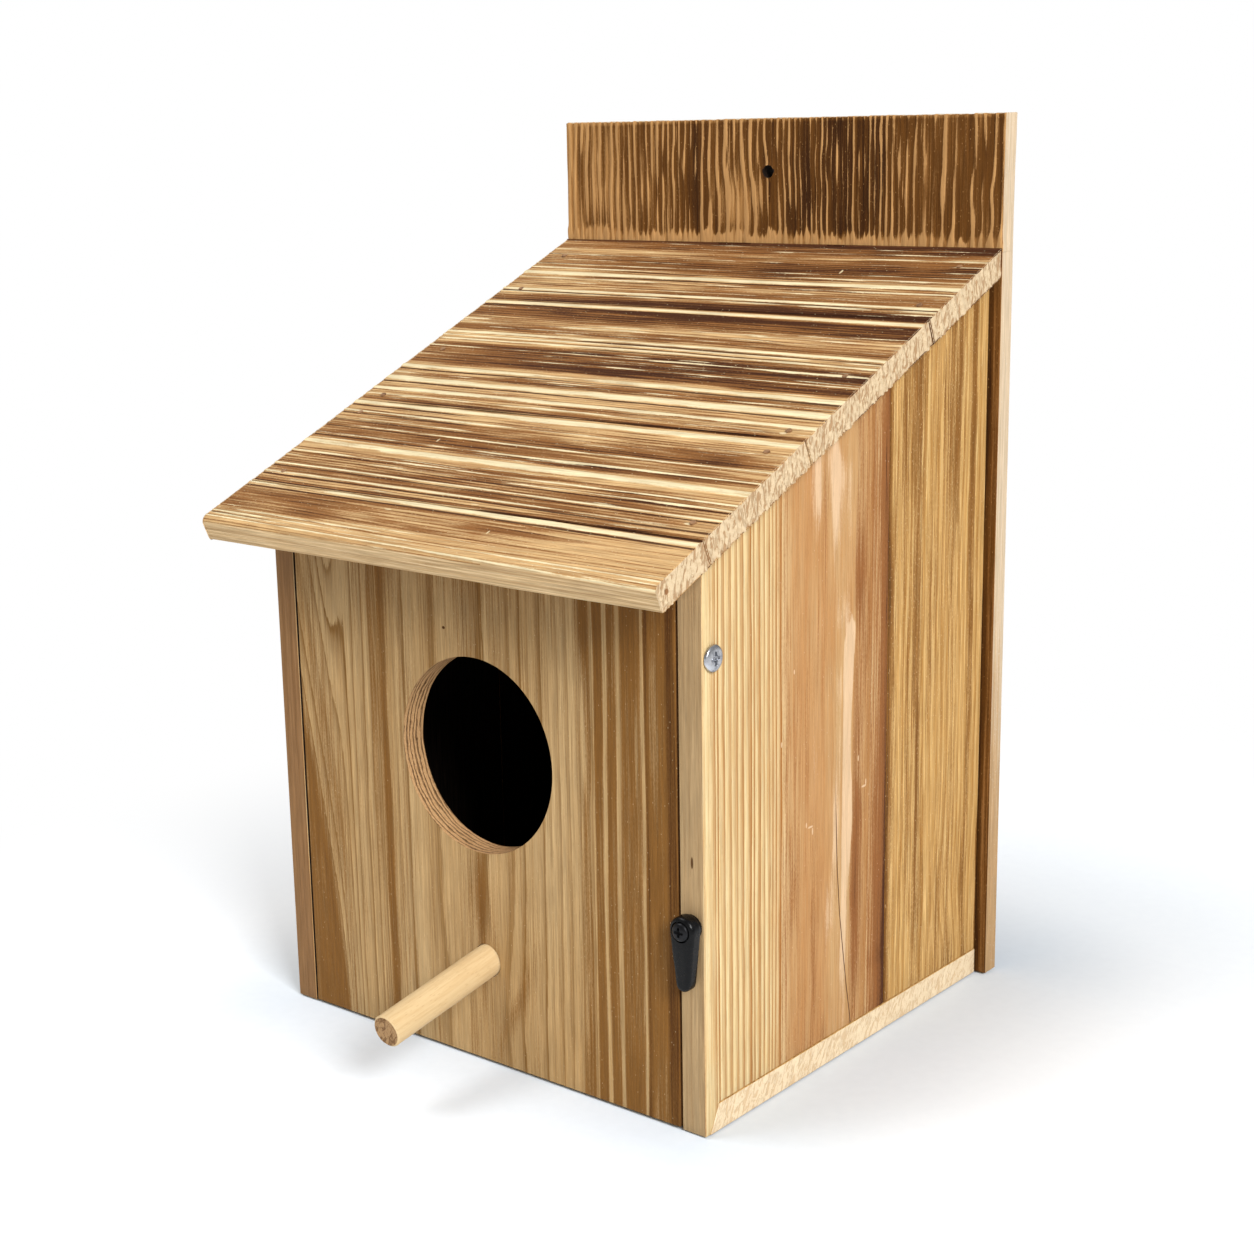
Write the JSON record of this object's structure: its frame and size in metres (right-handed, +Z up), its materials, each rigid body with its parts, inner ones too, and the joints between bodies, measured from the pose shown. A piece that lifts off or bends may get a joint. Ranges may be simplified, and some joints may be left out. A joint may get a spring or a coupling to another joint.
{
  "type": "birdhouse",
  "caption": "Flamed softwood birdhouse: sloping board roof, tall hanging backboard, round entrance, perch, and a front door that swings up past a turn button.",
  "frame": {"origin": "middle of the floor board's underside, halfway between the side walls and halfway from the front plane to the backboard", "axes": "+X to the right seen from the front, +Y to the back and the wall it hangs on, +Z up"},
  "size_m": [0.168, 0.1907, 0.266],
  "materials": {
    "back_wood": "flamed and brushed, upright ribs",
    "roof_wood": "flamed and brushed, ribs along the eave",
    "wall_wood": "flamed and brushed lightly",
    "floor_wood": "sawn end grain, bare",
    "door_wood": "flamed lightly, smooth",
    "perch_wood": "bare beech dowel",
    "zinc_steel": "bright zinc plate",
    "black_plastic": "moulded, glossy",
    "black_steel": "black plate, glossy",
    "brad_steel": "dull"
  },
  "bodies": {
    "house": {"backboard": "back_wood", "floor_board": "floor_wood", "side_left_front_board": "wall_wood", "side_left_rear_board": "wall_wood", "side_right_front_board": "wall_wood", "side_right_rear_board": "wall_wood", "roof_eave_board": "roof_wood", "roof_lower_board": "roof_wood", "roof_middle_board": "roof_wood", "roof_upper_board": "roof_wood", "turn_button_screw": "black_steel", "roof_brads": "brad_steel", "floor_brads": "brad_steel", "backboard_brads": "brad_steel"},
    "door": {"front_door": "door_wood", "perch": "perch_wood", "pivot_screw_left": "zinc_steel", "pivot_screw_right": "zinc_steel"},
    "button": {"turn_button": "black_plastic"}
  },
  "joints": [
    {"name": "door_pivot", "type": "hinge", "parent": "house", "child": "door", "pos_m": [0, -0.067, 0.1315], "axis": [-1, 0, 0], "range_deg": [0, 110]},
    {"name": "button_turn", "type": "hinge", "parent": "house", "child": "button", "pos_m": [0.076, -0.073, 0.0593], "axis": [0, 1, 0], "continuous": true}
  ]
}
